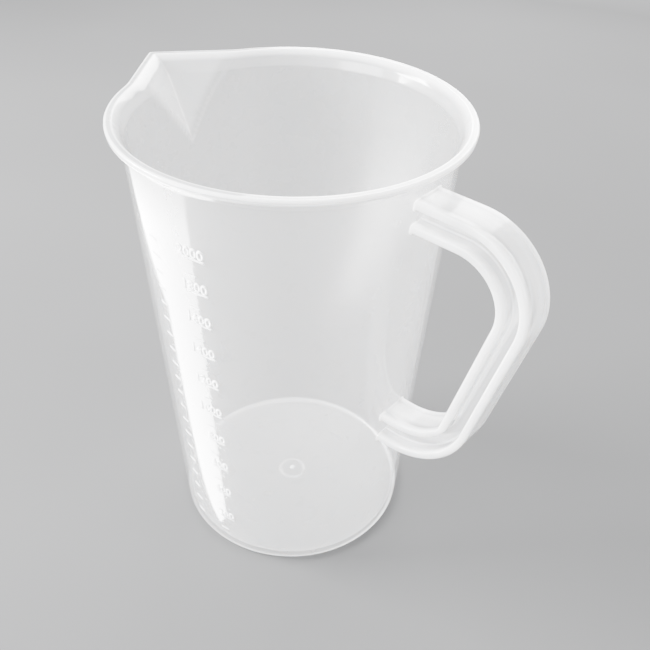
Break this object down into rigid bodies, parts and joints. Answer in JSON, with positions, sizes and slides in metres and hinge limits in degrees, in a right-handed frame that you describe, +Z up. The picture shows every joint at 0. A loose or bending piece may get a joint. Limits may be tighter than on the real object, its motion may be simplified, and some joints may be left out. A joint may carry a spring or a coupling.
{
  "type": "graduated mixing jug",
  "caption": "Tapered translucent plastic jug with a V-shaped pouring spout, a rolled rim, an I-section handle and a printed volume scale.",
  "frame": {"origin": "centre of the flat underside, on the vessel's own axis", "axes": "+Z up along the vessel's axis, +X towards the handle, -X towards the spout, the scale on the -Y side"},
  "size_m": [0.2079, 0.1454, 0.213],
  "materials": {
    "vessel_plastic": "natural polypropylene, translucent and milky, satin gloss",
    "handle_plastic": "the same polypropylene in thicker sections, so whiter and less clear",
    "print": "opaque white print"
  },
  "bodies": {
    "root": {"vessel": "vessel_plastic", "handle": "handle_plastic", "mark_left_01": "print", "mark_left_02": "print", "mark_left_03": "print", "mark_left_04": "print", "mark_left_05": "print", "mark_left_06": "print", "mark_left_07": "print", "mark_left_08": "print", "mark_left_09": "print", "mark_left_10": "print", "mark_left_11": "print", "mark_left_12": "print", "mark_left_13": "print", "mark_left_14": "print", "mark_left_15": "print", "mark_left_16": "print", "mark_left_17": "print", "mark_left_18": "print", "mark_left_19": "print", "mark_left_20": "print", "mark_right_01": "print", "mark_right_02": "print", "mark_right_03": "print", "mark_right_04": "print", "mark_right_05": "print", "mark_right_06": "print", "mark_right_07": "print", "mark_right_08": "print", "mark_right_09": "print", "mark_right_10": "print", "mark_right_11": "print", "mark_right_12": "print", "mark_right_13": "print", "mark_right_14": "print", "mark_right_15": "print", "mark_right_16": "print", "mark_right_17": "print", "mark_right_18": "print", "mark_right_19": "print", "mark_right_20": "print"}
  },
  "joints": []
}
